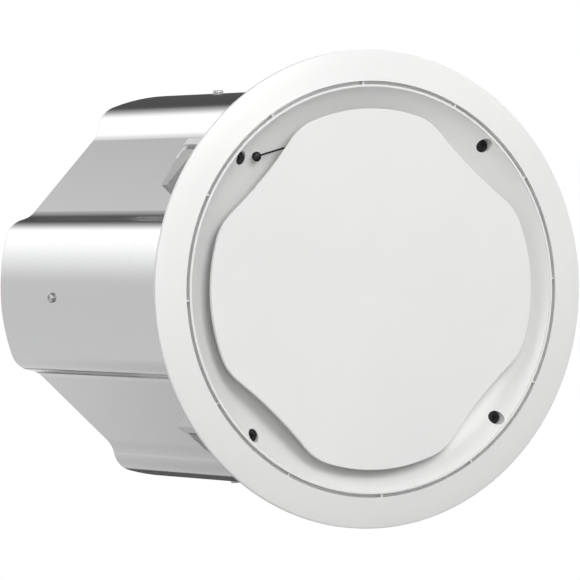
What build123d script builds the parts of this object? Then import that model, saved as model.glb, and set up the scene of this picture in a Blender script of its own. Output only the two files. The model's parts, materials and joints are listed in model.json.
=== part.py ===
from build123d import *
import math
import os

# The source is drawn with the axis upright. Depth grows from the ceiling seat of the flange
# towards the can's back. Sizes are in millimetres and angles in degrees.

# Front moulding.
FLANGE_R = 175.0
FLANGE_W = 22.8
FACE_RISE = 7.0
FACE_T = 2.25
EDGE_T = 3.0
EDGE_ROUND = 1.2
EDGE_DROP = 0.72
EDGE_W = 3.5
ROOT_W = 3.0
GROOVE_W = 2.6
GROOVE_DEEP = 4.0
NIB_COUNT = 12
NIB_L = 6.0
NIB_SINK = 1.2
LIP_W = 1.6
LIP_STEP = 0.5
LIP_DROP = 1.0
MOULD_T = 3.0
COVE_R = 44.0
COVE_TURN = 50.0
SPIGOT_STEP = 2.3
SPIGOT_T = 3.0
SPIGOT_H = 8.0
SEAT_WALL = 16.0
SEAT_OVER = 1.5
WELL_RISE = 2.2
BOSS_R = 8.0
TOWER_T = 6.5
TOWER_IN = 9.0
EYE_T = 5.0
EYE_R = 6.0

# Tether of wire between a button and an anchor.
TETHER_IN = 15.0
TETHER_A = -130.6
TETHER_RUN = 56.0
TETHER_TURN = -12.6
WIRE_R = 0.7
WIRE_Z = 2.3
EYELET_R = 2.9
STEM_R = 1.5
BUTTON_R = 3.65
BUTTON_H = 2.4
PAD_R = 4.2

# Deflector plate and port.
PLATE_GAP = 16.0
PLATE_T = 3.0
PLATE_SINK = 0.5
WAIST_STEP = 11.5
HOLLOW_R = 340.0
PLATE_CORNER_R = 40.0
POST_R = 6.0
POST_STEP = 24.0
PLATE_SCREW_L = 10.0
PORT_R = 50.0
PORT_LENGTH = 105.0
TUBE_T = 2.9
THROAT_ROUND = 12.0
COLLAR_L = 12.0
FLARE = 9.0

# Can.
CAN_REAR = 327.8
SHEET = 2.0
FLAT_STEP = 21.0
FLAT_HALF = 42.8
LOBE_LEAN = 0.23
CORNER_R = 18.0
CORNER_SHARE = 0.6
VALLEY_R = 20.0
WALL_SHARE = 0.85
BACK_T = 2.5
BACK_ROUND = 2.0
GASKET_T = 2.0
RING_T = 2.0
RING_W = 48.0
RING_SCREW_IN = 10.0
RING_SCREW_TURN = 13.0
RING_SCREW_BITE = 6.0
BACK_RING_W = 13.0
BACK_SCREW_IN = 8.0
BACK_SCREW_L = 9.0

# Screws and clamps.
SHANK_R = 2.0
HEAD_R = 4.3
HEAD_H = 3.0
PAN_R = 4.0
PAN_H = 2.4
SCREW_STEP = 15.2
TIP_OUT = 2.0
DOG_TRAVEL = 54.0
DOG_H = 18.0
DOG_REACH = 32.0
DOG_HALF = 7.0
DOG_TIP_H = 8.0
DOG_SHOULDER = 10.0
INSERT_R = 4.5
INSERT_LIP = 1.4
INSERT_FLANGE_T = 1.5

# Driver and its board.
BOARD_T = 15.0
BOARD_SET = 94.8
BOARD_SEAT = 12.0
BOARD_SCREW_L = 22.0
DRIVER_R = 105.0
DRIVER_COUNT = 8
DRIVER_SCREW_IN = 6.5
DRIVER_SCREW_L = 14.0
FRAME_T = 2.0
FRAME_W = 21.0
WALL_STEP = 6.0
WALL_W = 3.0
WINDOW_COUNT = 6
WINDOW_TOP = 6.0
WINDOW_FOOT = 4.0
LEG_W = 16.0
LEG_TURN = 30.0
LEDGE_R = 60.0
LEDGE_W = 12.0
LEDGE_DEEP = 42.0
NECK_H = 10.0
NECK_LIP = 12.0
CONE_IN = 31.0
CONE_LIP = 2.0
CONE_DEEP = 34.0
CONE_T = 1.0
CONE_THROW = 6.0
GLUE_L = 4.0
CAP_OVER = 7.0
CAP_RISE = 9.0
COIL_R = 25.7
COIL_T = 0.5
FORMER_T = 0.6
POLE_ROOM = 0.6
AIR_ROOM = 0.4
TOP_T = 8.0
MAGNET_R = 60.0
MAGNET_T = 18.0
MAGNET_STEP = 5.0
YOKE_T = 8.0
ROLL_R = 6.0
ROLL_T = 1.2
ROLL_SEAT = 6.0
ROLL_LAND = 6.0
SPIDER_T = 1.0
SPIDER_IN = 4.0

# Terminals, tag strip, leads and safety loop.
BLOCK_AT = 60.0
BLOCK_X = 24.0
BLOCK_Y = 14.0
BLOCK_H = 14.0
BLOCK_WALL = 3.0
BLOCK_SCREW_L = 9.0
EAR_X = 34.0
EAR_T = 3.0
EAR_SCREW_X = 29.0
PLUG_X = 19.0
PLUG_Y = 8.0
PLUG_DEEP = 5.0
POCKET_FLOOR = 4.0
LEVER_X = 11.0
LEVER_HALF = 7.5
LEVER_L = 17.0
LEVER_T = 3.0
LEVER_REST = 4.0
LEVER_PRESS = 20.0
PIVOT_BACK = 7.5
PIVOT_DOWN = 4.8
PIVOT_R = 1.5
PIVOT_IN = 2.0
WIRE_HOLE_R = 2.0
WIRE_HOLE_UP = 2.2
TAB_X = 6.0
TAB_HALF = 3.0
TAB_T = 0.8
TAB_L = 9.0
STRIP_X = 14.0
STRIP_T = 2.0
STRIP_OVER = 6.0
LEAD_R = 0.9
LEAD_BOW = 12.0
LEAD_STUB = 7.0
LEAD_BEND = 5.8
LOOP_AT = -86.0
LOOP_HALF = 12.0
LOOP_FOOT = 20.0
LOOP_H = 26.0
LOOP_ROUND = 9.0
LOOP_HOLE_R = 5.0
RIVET_R = 2.0
RIVET_IN = 12.0
RIVET_HEAD_R = 4.0
RIVET_HEAD_H = 1.2
RIVET_TAIL_R = 3.2
RIVET_TAIL_H = 1.0

# Clearances.
FIT = 0.1
RUNNING = 0.06
MOVING = 0.5
CLEAR = 1.0
WELL_ROOM = 0.7

# Sizes that follow from the ones above.
GROOVE_OUT_R = FLANGE_R - FLANGE_W
GROOVE_IN_R = GROOVE_OUT_R - GROOVE_W
GROOVE_Z = -FACE_RISE + GROOVE_DEEP
NIB_Z = -FACE_RISE + NIB_SINK
NIB_ROOT = LIP_W / 2
LIP_IN_R = GROOVE_IN_R - LIP_W
SPIGOT_R = GROOVE_OUT_R + SPIGOT_STEP
HOLLOW_OUT_R = FLANGE_R - EDGE_W
HOLLOW_IN_R = SPIGOT_R + ROOT_W
SLOPE = (FACE_RISE - EDGE_T) / FLANGE_W
RIM_R = LIP_IN_R - LIP_STEP
RIM_Z = -FACE_RISE + LIP_DROP
COVE_A = math.radians(COVE_TURN)
COVE_IN_R = RIM_R - COVE_R * math.sin(COVE_A)
COVE_MID_Z = RIM_Z - COVE_R * math.cos(COVE_A)
BACK_COVE_R = COVE_R + MOULD_T
BACK_TURN = math.acos(-COVE_MID_Z / BACK_COVE_R)
FLOOR_Z = COVE_MID_Z + COVE_R
FLOOR_BACK = FLOOR_Z + MOULD_T
COLLAR_IN_R = PORT_R + TUBE_T + FIT
COLLAR_R = COLLAR_IN_R + MOULD_T
COLLAR_Z = FLOOR_Z + THROAT_ROUND
COLLAR_END = COLLAR_Z + COLLAR_L
PORT_END = COLLAR_Z + PORT_LENGTH
PLATE_R = LIP_IN_R - PLATE_GAP
WAIST_R = PLATE_R - WAIST_STEP
PLATE_FRONT = -FACE_RISE + PLATE_SINK
PLATE_BACK = PLATE_FRONT + PLATE_T
POST_AT = COLLAR_R + POST_STEP
LOBE_R = LIP_IN_R
FLAT_U = LOBE_R - FLAT_STEP
SIDE_Y = (FLAT_U - FLAT_HALF + LOBE_LEAN * (FLAT_U + FLAT_HALF)) / math.sqrt(2.0)
CAN_FRONT = FLOOR_BACK + GASKET_T
WALL_END = CAN_REAR - BACK_T
RING_BACK = CAN_FRONT + RING_T
RING_HOLE_R = LOBE_R - RING_W
RING_INSET = SHEET + FIT
RING_SCREW_R = LOBE_R - RING_SCREW_IN
RING_SCREW_L = RING_T + GASKET_T + RING_SCREW_BITE
BACK_RING_R = FLAT_U - BACK_RING_W
HOLE_R = SHANK_R + FIT
SCREW_U = FLAT_U + SCREW_STEP
WELL_R = HEAD_R + WELL_ROOM
WELL_FLOOR = FLOOR_Z - WELL_RISE
BOSS_END = WELL_FLOOR + MOULD_T
INSERT_FLANGE_R = INSERT_R + INSERT_LIP
DOG_REST = BOSS_END + DOG_TRAVEL + INSERT_FLANGE_T + 2.0 * CLEAR
DOG_TOP = DOG_REST + DOG_H
DOG_BOSS_R = DOG_HALF + MOVING
EYE_Z = DOG_TOP + 2.0 * CLEAR
TOWER_END = EYE_Z + EYE_T
TOWER_Y = DOG_BOSS_R + MOVING
SCREW_TIP = TOWER_END + TIP_OUT
TETHER_R = LIP_IN_R - TETHER_IN
PAD_Z = WIRE_Z + WIRE_R
BOARD_AT = CAN_REAR - BOARD_SET
BOARD_FRONT = BOARD_AT - BOARD_T / 2
BOARD_BACK = BOARD_AT + BOARD_T / 2
BOARD_HOLE_R = DRIVER_R - BOARD_SEAT
FRAME_BACK = BOARD_FRONT - GASKET_T
FRAME_FRONT = FRAME_BACK - FRAME_T
FRAME_IN_R = DRIVER_R - FRAME_W
WALL_TOP_R = FRAME_IN_R + WALL_STEP
DRIVER_SCREW_R = DRIVER_R - DRIVER_SCREW_IN
DRIVER_SCREW_TIP = FRAME_FRONT + DRIVER_SCREW_L
LEDGE_Z = FRAME_FRONT + LEDGE_DEEP
GAP_Z = LEDGE_Z + NECK_H
CONE_R = DRIVER_R - CONE_IN
NECK_Z = FRAME_FRONT + CONE_DEEP
POLE_R = COIL_R - FORMER_T - POLE_ROOM
AIR_R = COIL_R + COIL_T + AIR_ROOM
FORMER_END = GAP_Z + TOP_T + CONE_THROW + 2.0 * CLEAR
COIL_START = GAP_Z - CONE_THROW / 2
COIL_END = GAP_Z + TOP_T + CONE_THROW / 2
CAP_R = COIL_R + CAP_OVER
ROLL_OUT_R = FRAME_IN_R + ROLL_SEAT
ROLL_MID_R = ROLL_OUT_R - ROLL_R
ROLL_IN_R = ROLL_MID_R - ROLL_R
SURROUND_R = DRIVER_SCREW_R - PAN_R - MOVING
SURROUND_IN_R = ROLL_IN_R - ROLL_LAND
BLOCK_TOP = CAN_REAR + BLOCK_H
POCKET_Y = BLOCK_Y - BLOCK_WALL
POCKET_Z = CAN_REAR + POCKET_FLOOR
PIVOT_Y = BLOCK_AT - PIVOT_BACK
PIVOT_Z = BLOCK_TOP - PIVOT_DOWN
LEVER_LIFT = LEVER_PRESS + LEVER_REST
WIRE_HOLE_Z = POCKET_Z + WIRE_HOLE_UP
TAB_END = CAN_REAR - PLUG_DEEP - TAB_L
STRIP_Y = LEDGE_R + FRAME_T
STRIP_Z = LEDGE_Z + FRAME_T
STRIP_END = GAP_Z + STRIP_OVER

DIAGONALS = [45.0, 135.0, 225.0, 315.0]
CRESTS = [0.0, 90.0, 180.0, 270.0]


def outline(start, steps):
    """A flat face with edges through the steps; a step of two points is an arc through the first."""
    edges = []
    here = start
    for step in steps:
        if isinstance(step[0], tuple):
            edges.append(ThreePointArc(here, step[0], step[1]))
            here = step[1]
        else:
            edges.append(Line(here, step))
            here = step
    if here != start:
        edges.append(Line(here, start))
    return make_face(edges)


def turned(start, steps):
    """A solid turned about the axis from a half section of radius and depth."""
    return revolve(Plane.XZ * outline(start, steps), Axis.Z)


def disc(radius, low, high):
    """A round solid on the axis between two depths."""
    return Pos(0, 0, low) * extrude(Circle(radius), high - low)


def ring(outer, inner, low, high):
    """A round ring on the axis between two depths."""
    return Pos(0, 0, low) * extrude(Circle(outer) - Circle(inner), high - low)


def slab(face, low, high):
    """A flat face given thickness between two depths."""
    return Pos(0, 0, low) * extrude(face, high - low)


def block(x0, x1, y0, y1, z0, z1):
    """A box between two corners."""
    middle = Pos((x0 + x1) / 2, (y0 + y1) / 2, (z0 + z1) / 2)
    return middle * Box(x1 - x0, y1 - y0, z1 - z0)


def turned_to(shape, angle):
    """A shape turned about the axis."""
    return Rot(Z=angle) * shape


def dome_step(radius, rim, top):
    """The arc of a round dome from its rim up to the axis."""
    rise = rim - top
    ball = (radius**2 + rise**2) / (2.0 * rise)
    half = math.asin(radius / ball) / 2
    return ((ball * math.sin(half), top + ball - ball * math.cos(half)), (0.0, top))


def polar(radius, angle):
    """A point on the section, from its radius and angle in degrees."""
    return (radius * math.cos(math.radians(angle)), radius * math.sin(math.radians(angle)))


def lobed(inset):
    """The can's four-lobed section, drawn in parallel inside its outer face."""
    lobe_r = LOBE_R - inset
    flat_u = FLAT_U - inset
    slant = math.hypot(1.0, LOBE_LEAN)
    side = SIDE_Y - inset * slant
    # The side wall is the line y = side - lean * x; it meets the lobe's arc and the flat.
    half = LOBE_LEAN * side
    root = math.sqrt(half**2 - slant**2 * (side**2 - lobe_r**2))
    arc_x = (half + root) / slant**2
    corner = (arc_x, side - LOBE_LEAN * arc_x)
    flat_x = (flat_u * math.sqrt(2.0) - side) / (1.0 - LOBE_LEAN)
    valley = (flat_x, side - LOBE_LEAN * flat_x)
    reach = math.hypot(*corner)
    spread = math.degrees(math.atan2(corner[1], corner[0]))
    dip = math.hypot(*valley)
    swing = math.degrees(math.atan2(valley[1], valley[0]))
    steps = []
    for crest in CRESTS:
        steps.append((polar(lobe_r, crest), polar(reach, crest + spread)))
        steps.append(polar(dip, crest + swing))
        steps.append(polar(dip, crest + 90.0 - swing))
        steps.append(polar(reach, crest + 90.0 - spread))
    face = outline(polar(reach, -spread), steps[:-1])
    # Both rounds share the side wall, so a short wall limits them.
    lean = math.degrees(math.atan(LOBE_LEAN))
    wall = math.dist(corner, valley)
    bend = math.tan(math.radians(90.0 - lean - spread) / 2)
    dip_bend = math.tan(math.radians(45.0 - lean) / 2)
    corner_r = min(CORNER_R - inset, CORNER_SHARE * wall / bend)
    valley_r = min(VALLEY_R + inset, WALL_SHARE * (wall - corner_r * bend) / dip_bend)
    corners = [v for v in face.vertices() if math.hypot(v.X, v.Y) > (reach + dip) / 2]
    face = fillet(corners, corner_r)
    valleys = [v for v in face.vertices() if abs(math.hypot(v.X, v.Y) - dip) < FIT / 10]
    return fillet(valleys, valley_r)


def plate_shape():
    """The deflector's outline: four broad lobes with shallow hollows between them."""
    far = WAIST_R + HOLLOW_R
    cut_u = (PLATE_R**2 + far**2 - HOLLOW_R**2) / (2.0 * far)
    spread = 45.0 - math.degrees(math.acos(cut_u / PLATE_R))
    steps = []
    for crest in CRESTS:
        steps.append((polar(PLATE_R, crest), polar(PLATE_R, crest + spread)))
        steps.append((polar(WAIST_R, crest + 45.0), polar(PLATE_R, crest + 90.0 - spread)))
    start = polar(PLATE_R, -spread)
    steps[-1] = (steps[-1][0], start)
    face = outline(start, steps)
    return fillet(face.vertices(), PLATE_CORNER_R)


def pan_screw(length, shank_r=SHANK_R, head_r=PAN_R, head_h=PAN_H):
    """A pan-head screw: its seat is at depth zero, its head below and its shank above."""
    head = disc(head_r, -head_h, 0.0)
    rim = head.faces().sort_by(Axis.Z)[0].edges()
    head = fillet(rim, head_h / 2)
    slot = block(-head_r / 2, head_r / 2, -shank_r / 5, shank_r / 5, -head_h, -head_h / 2)
    cross = slot + turned_to(slot, 90.0)
    return head - cross + disc(shank_r, 0.0, length)


def group(shapes):
    """Separate solids kept together as one piece of the list."""
    return Compound(children=[s.solid() for s in shapes])


# Front moulding: flange, groove, lip, dish, spigot, guide towers and throat in one casting of white plastic.


def cove(radius, angle):
    """A point on the dish's cove, or on its parallel back."""
    return (COVE_IN_R + radius * math.sin(angle), COVE_MID_Z + radius * math.cos(angle))


def face_depth(radius):
    """Depth of the flange's sloping face at a radius."""
    return -FACE_RISE + SLOPE * (radius - GROOVE_OUT_R)


def dish_space():
    """The open space in front of the dish, with the throat that leads into the port."""
    throat = PORT_R + THROAT_ROUND
    turn = THROAT_ROUND * (1.0 - math.sqrt(0.5))
    front = -FACE_RISE - CLEAR
    return turned(
        (0.0, front),
        [
            (LIP_IN_R, front),
            (LIP_IN_R, RIM_Z),
            (RIM_R, RIM_Z),
            (cove(COVE_R, COVE_A / 2), (COVE_IN_R, FLOOR_Z)),
            (throat, FLOOR_Z),
            ((PORT_R + turn, FLOOR_Z + turn), (PORT_R, COLLAR_Z)),
            (COLLAR_IN_R, COLLAR_Z),
            (COLLAR_IN_R, COLLAR_END + CLEAR),
            (0.0, COLLAR_END + CLEAR),
        ],
    )


def moulding_core():
    """The round part of the moulding before the dish is opened."""
    return turned(
        (PORT_R - CLEAR, -FACE_RISE),
        [
            (GROOVE_OUT_R, -FACE_RISE),
            (FLANGE_R - EDGE_ROUND, face_depth(FLANGE_R - EDGE_ROUND)),
            (FLANGE_R, face_depth(FLANGE_R) + EDGE_DROP),
            (FLANGE_R, 0.0),
            (HOLLOW_OUT_R, 0.0),
            (HOLLOW_OUT_R, face_depth(HOLLOW_OUT_R) + FACE_T),
            (HOLLOW_IN_R, face_depth(HOLLOW_IN_R) + FACE_T),
            (HOLLOW_IN_R, 0.0),
            (SPIGOT_R, 0.0),
            (SPIGOT_R, SPIGOT_H),
            (SPIGOT_R - SPIGOT_T, SPIGOT_H),
            (SPIGOT_R - SPIGOT_T, 0.0),
            cove(BACK_COVE_R, BACK_TURN),
            (cove(BACK_COVE_R, BACK_TURN / 2), (COVE_IN_R, FLOOR_BACK)),
            (COLLAR_R, FLOOR_BACK),
            (COLLAR_R, COLLAR_END),
            (PORT_R - CLEAR, COLLAR_END),
        ],
    )


def guide_tower():
    """One guide tower, with the boss of its clamp screw and the eye that steadies the screw's tip."""
    root = -EDGE_T
    post = block(SCREW_U - TOWER_IN, SCREW_U + DOG_BOSS_R, TOWER_Y, TOWER_Y + TOWER_T, root, TOWER_END)
    lug = block(SCREW_U - EYE_R, SCREW_U + EYE_R, 0.0, TOWER_Y, EYE_Z, TOWER_END)
    eye = Pos(SCREW_U, 0.0, 0.0) * disc(EYE_R, EYE_Z, TOWER_END)
    boss = Pos(SCREW_U, 0.0, 0.0) * disc(BOSS_R, root, BOSS_END)
    return post + lug + eye + boss


def screw_well():
    """The space for one clamp screw in the moulding: the head's well and the shank's holes."""
    well = Pos(SCREW_U, 0.0, 0.0) * disc(WELL_R, -FACE_RISE - CLEAR, WELL_FLOOR)
    bore = Pos(SCREW_U, 0.0, 0.0) * disc(HOLE_R, WELL_FLOOR - CLEAR, TOWER_END + CLEAR)
    return well + bore


# Tether: a button on the dish, a straight wire and an anchor under the deflector.
BUTTON_XY = polar(TETHER_R, TETHER_A)
WIRE_DIR = polar(1.0, TETHER_TURN)
ANCHOR_XY = (BUTTON_XY[0] + TETHER_RUN * WIRE_DIR[0], BUTTON_XY[1] + TETHER_RUN * WIRE_DIR[1])


def surface_back(radius):
    """Depth of the back of the dish's wall at a radius."""
    return COVE_MID_Z + math.sqrt(BACK_COVE_R**2 - max(radius - COVE_IN_R, 0.0) ** 2)


def tether_pad(xy):
    """A small boss on the dish that carries one end of the tether."""
    depth = surface_back(math.hypot(*xy)) - MOULD_T / 3
    return Pos(xy[0], xy[1], 0.0) * disc(PAD_R, PAD_Z, depth)


def tether_stem(xy, radius):
    """The stem of a tether button, or the hole for it."""
    return Pos(xy[0], xy[1], 0.0) * disc(radius, WIRE_Z - WIRE_R, PAD_Z + BUTTON_H)


def tether_button(xy):
    """A domed button on its stem."""
    low = WIRE_Z - WIRE_R
    rim = low - BUTTON_H / 4
    dome = turned((0.0, low), [(BUTTON_R, low), (BUTTON_R, rim), dome_step(BUTTON_R, rim, low - BUTTON_H)])
    return Pos(xy[0], xy[1], 0.0) * dome + tether_stem(xy, STEM_R)


def tether_wire():
    """The wire between its two crimped eyelets."""
    run = Plane(origin=(BUTTON_XY[0], BUTTON_XY[1], WIRE_Z), z_dir=(WIRE_DIR[0], WIRE_DIR[1], 0.0))
    wire = run * extrude(Circle(WIRE_R), TETHER_RUN)
    ends = Part()
    holes = Part()
    for xy in (BUTTON_XY, ANCHOR_XY):
        ends += Pos(xy[0], xy[1], 0.0) * disc(EYELET_R, WIRE_Z - WIRE_R, WIRE_Z + WIRE_R)
        holes += tether_stem(xy, STEM_R + FIT)
    return wire + ends - holes


# Deflector plate: its posts stand on the dish's floor and are screwed from behind.


def deflector_plate():
    """The flat lobed plate over the dish, with its four posts."""
    plate = slab(plate_shape(), PLATE_FRONT, PLATE_BACK)
    rim = plate.faces().sort_by(Axis.Z)[0].edges()
    plate = fillet(rim, PLATE_SINK)
    for crest in DIAGONALS:
        x, y = polar(POST_AT, crest)
        plate += Pos(x, y, 0.0) * disc(POST_R, PLATE_BACK, FLOOR_Z)
    for crest in DIAGONALS:
        x, y = polar(POST_AT, crest)
        plate -= Pos(x, y, 0.0) * disc(HOLE_R, FLOOR_BACK - PLATE_SCREW_L - CLEAR, FLOOR_Z)
    return plate


def plate_screws():
    """The four screws behind the dish that hold the deflector's posts."""
    made = []
    for crest in DIAGONALS:
        x, y = polar(POST_AT, crest)
        made.append(Pos(x, y, FLOOR_BACK) * Rot(X=180) * pan_screw(PLATE_SCREW_L))
    return group(made)


# Screws of the can's front ring go into the moulding's seat wall, two in each lobe.
RING_ANGLES = [crest + side * RING_SCREW_TURN for crest in CRESTS for side in (-1.0, 1.0)]


def front_bezel():
    """The whole front moulding."""
    body = moulding_core()
    seat = lobed(-SEAT_OVER) - lobed(SEAT_WALL)
    body += slab(seat, -EDGE_T, FLOOR_BACK)
    for angle in DIAGONALS:
        body += turned_to(guide_tower(), angle)
    body -= dish_space()
    body -= ring(GROOVE_OUT_R, GROOVE_IN_R, -FACE_RISE - CLEAR, GROOVE_Z)
    for n in range(NIB_COUNT):
        nib = block(GROOVE_IN_R - NIB_ROOT, GROOVE_OUT_R + NIB_ROOT, -NIB_L / 2, NIB_L / 2, NIB_Z, GROOVE_Z)
        body += turned_to(nib, n * 360.0 / NIB_COUNT)
    for xy in (BUTTON_XY, ANCHOR_XY):
        body += tether_pad(xy)
        body -= tether_stem(xy, STEM_R + FIT)
    for angle in DIAGONALS:
        body -= turned_to(screw_well(), angle)
        x, y = polar(POST_AT, angle)
        body -= Pos(x, y, 0.0) * disc(HOLE_R, FLOOR_Z - CLEAR, FLOOR_BACK + CLEAR)
    for angle in RING_ANGLES:
        x, y = polar(RING_SCREW_R, angle)
        body -= Pos(x, y, 0.0) * disc(HOLE_R, RING_BACK - RING_SCREW_L - FIT, FLOOR_BACK)
    return body


# Clamps: a long screw from the front, a threaded insert that travels on it, and an arm that swings out.
def dog_screw():
    """One clamp screw, with its head in the well and its tip in the tower's eye."""
    return Pos(SCREW_U, 0.0, WELL_FLOOR) * pan_screw(SCREW_TIP - WELL_FLOOR, SHANK_R, HEAD_R, HEAD_H)


def dog_insert():
    """The threaded insert inside one clamp arm."""
    body = disc(INSERT_R, DOG_REST, DOG_TOP) + disc(INSERT_FLANGE_R, DOG_REST - INSERT_FLANGE_T, DOG_REST)
    body -= disc(SHANK_R + RUNNING, DOG_REST - INSERT_FLANGE_T, DOG_TOP)
    return Pos(SCREW_U, 0.0, 0.0) * body


def dog_arm():
    """One clamp arm, folded along the can's flat."""
    side = outline(
        (0.0, DOG_REST),
        [
            (-DOG_REACH, DOG_REST),
            (-DOG_REACH, DOG_REST + DOG_TIP_H),
            (-DOG_SHOULDER, DOG_TOP),
            (0.0, DOG_TOP),
        ],
    )
    arm = Pos(-DOG_HALF, 0.0, 0.0) * extrude(Plane.YZ * side, 2.0 * DOG_HALF)
    body = arm + disc(DOG_BOSS_R, DOG_REST, DOG_TOP)
    body -= disc(INSERT_R + RUNNING, DOG_REST, DOG_TOP)
    return Pos(SCREW_U, 0.0, 0.0) * body


# Can: wrapped sheet with a ring at each end, closed by a back plate.
BACK_SPOTS = [polar(RING_SCREW_R, a) for a in CRESTS] + [polar(FLAT_U - BACK_SCREW_IN, a) for a in DIAGONALS]


def crest_hole(angle, radius, start, length):
    """A round solid that points outwards through a lobe's crest at the board's middle depth."""
    bore = Pos(start, 0.0, BOARD_AT) * Rot(Y=90) * extrude(Circle(radius), length)
    return turned_to(bore, angle)


def can_wall():
    """The lobed sheet wall."""
    wall = slab(lobed(0.0) - lobed(SHEET), CAN_FRONT, WALL_END)
    for crest in CRESTS:
        wall -= crest_hole(crest, HOLE_R, LOBE_R - 2.0 * SHEET, 3.0 * SHEET)
    return wall


def can_front_ring():
    """The flat ring inside the can's front end that is screwed to the moulding."""
    flat = slab(lobed(RING_INSET) - Circle(RING_HOLE_R), CAN_FRONT, RING_BACK)
    for angle in RING_ANGLES:
        x, y = polar(RING_SCREW_R, angle)
        flat -= Pos(x, y, 0.0) * disc(HOLE_R, CAN_FRONT, RING_BACK)
    return flat


def front_gasket():
    """The soft seal between the moulding and the can."""
    seal = slab(lobed(FIT) - lobed(SEAT_WALL - CLEAR), FLOOR_BACK, CAN_FRONT)
    for angle in RING_ANGLES:
        x, y = polar(RING_SCREW_R, angle)
        seal -= Pos(x, y, 0.0) * disc(HOLE_R, FLOOR_BACK, CAN_FRONT)
    return seal


def ring_screws():
    """The screws that pull the can onto the moulding from inside."""
    made = []
    for angle in RING_ANGLES:
        x, y = polar(RING_SCREW_R, angle)
        made.append(Pos(x, y, RING_BACK) * Rot(X=180) * pan_screw(RING_SCREW_L))
    return group(made)


def can_back_ring():
    """The flat ring inside the can's back end that takes the back plate's screws."""
    flat = slab(lobed(RING_INSET) - Circle(BACK_RING_R), WALL_END - RING_T, WALL_END)
    for x, y in BACK_SPOTS:
        flat -= Pos(x, y, 0.0) * disc(HOLE_R, WALL_END - RING_T, WALL_END)
    return flat


def back_screws():
    """The screws of the back plate."""
    made = []
    for x, y in BACK_SPOTS:
        made.append(Pos(x, y, CAN_REAR) * Rot(X=180) * pan_screw(BACK_SCREW_L))
    return group(made)


def driver_board():
    """The board across the can that carries the driver and parts the two chambers."""
    board = slab(lobed(RING_INSET) - Circle(BOARD_HOLE_R), BOARD_FRONT, BOARD_BACK)
    for crest in CRESTS:
        board -= crest_hole(crest, HOLE_R, LOBE_R - BOARD_SCREW_L - FIT, BOARD_SCREW_L)
    for angle in DRIVER_ANGLES:
        x, y = polar(DRIVER_SCREW_R, angle)
        board -= Pos(x, y, 0.0) * disc(HOLE_R, BOARD_FRONT, DRIVER_SCREW_TIP + FIT)
    return board


def board_screws():
    """The four screws through the lobes' crests into the board's edge."""
    made = []
    for crest in CRESTS:
        made.append(turned_to(Pos(LOBE_R, 0.0, BOARD_AT) * Rot(Y=-90) * pan_screw(BOARD_SCREW_L), crest))
    return group(made)


def port_tube():
    """The port behind the throat, flared at its inner end."""
    outer = PORT_R + TUBE_T
    turn = FLARE * (1.0 - math.sqrt(0.5))
    return turned(
        (PORT_R, COLLAR_Z),
        [
            (outer, COLLAR_Z),
            (outer, PORT_END - FLARE),
            ((outer + turn, PORT_END - turn), (outer + FLARE, PORT_END)),
            (outer + FLARE, PORT_END + TUBE_T),
            (PORT_R + FLARE, PORT_END + TUBE_T),
            ((PORT_R + turn, PORT_END + TUBE_T - turn), (PORT_R, PORT_END + TUBE_T - FLARE)),
        ],
    )


# Driver: frame, magnet system and moving cone.
DRIVER_ANGLES = [(n + 0.5) * 360.0 / DRIVER_COUNT for n in range(DRIVER_COUNT)]


def driver_basket():
    """The driver's pressed frame with six open windows."""
    frame = turned(
        (FRAME_IN_R, FRAME_FRONT),
        [
            (DRIVER_R, FRAME_FRONT),
            (DRIVER_R, FRAME_BACK),
            (WALL_TOP_R, FRAME_BACK),
            (LEDGE_R + FRAME_T, LEDGE_Z),
            (LEDGE_R + FRAME_T, GAP_Z),
            (AIR_R + NECK_LIP, GAP_Z),
            (AIR_R + NECK_LIP, GAP_Z - FRAME_T),
            (LEDGE_R, GAP_Z - FRAME_T),
            (LEDGE_R, LEDGE_Z + FRAME_T),
            (LEDGE_R - LEDGE_W, LEDGE_Z + FRAME_T),
            (LEDGE_R - LEDGE_W, LEDGE_Z),
            (LEDGE_R - CLEAR, LEDGE_Z),
            (WALL_TOP_R - WALL_W, FRAME_BACK),
            (FRAME_IN_R, FRAME_BACK),
        ],
    )
    outer = ring(DRIVER_R, LEDGE_R + FRAME_T + CLEAR, FRAME_BACK + WINDOW_TOP, LEDGE_Z - WINDOW_FOOT)
    legs = Part()
    for n in range(WINDOW_COUNT // 2):
        bar = block(-DRIVER_R, DRIVER_R, -LEG_W / 2, LEG_W / 2, FRAME_FRONT, GAP_Z)
        legs += turned_to(bar, LEG_TURN + n * 360.0 / WINDOW_COUNT)
    frame -= outer - legs
    for angle in DRIVER_ANGLES:
        x, y = polar(DRIVER_SCREW_R, angle)
        frame -= Pos(x, y, 0.0) * disc(HOLE_R, FRAME_FRONT, FRAME_BACK)
    return frame


def driver_gasket():
    """The seal under the driver's frame."""
    seal = ring(DRIVER_R, BOARD_HOLE_R, FRAME_BACK, BOARD_FRONT)
    for angle in DRIVER_ANGLES:
        x, y = polar(DRIVER_SCREW_R, angle)
        seal -= Pos(x, y, 0.0) * disc(HOLE_R, FRAME_BACK, BOARD_FRONT)
    return seal


def driver_screws():
    """The screws of the driver's frame."""
    made = []
    for angle in DRIVER_ANGLES:
        x, y = polar(DRIVER_SCREW_R, angle)
        made.append(Pos(x, y, FRAME_FRONT) * pan_screw(DRIVER_SCREW_L))
    return group(made)


def driver_top_plate():
    """The steel plate around the air gap."""
    return ring(MAGNET_R - MAGNET_STEP, AIR_R, GAP_Z, GAP_Z + TOP_T)


def driver_magnet():
    """The ring magnet."""
    return ring(MAGNET_R, AIR_R + MAGNET_STEP, GAP_Z + TOP_T, GAP_Z + TOP_T + MAGNET_T)


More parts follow.
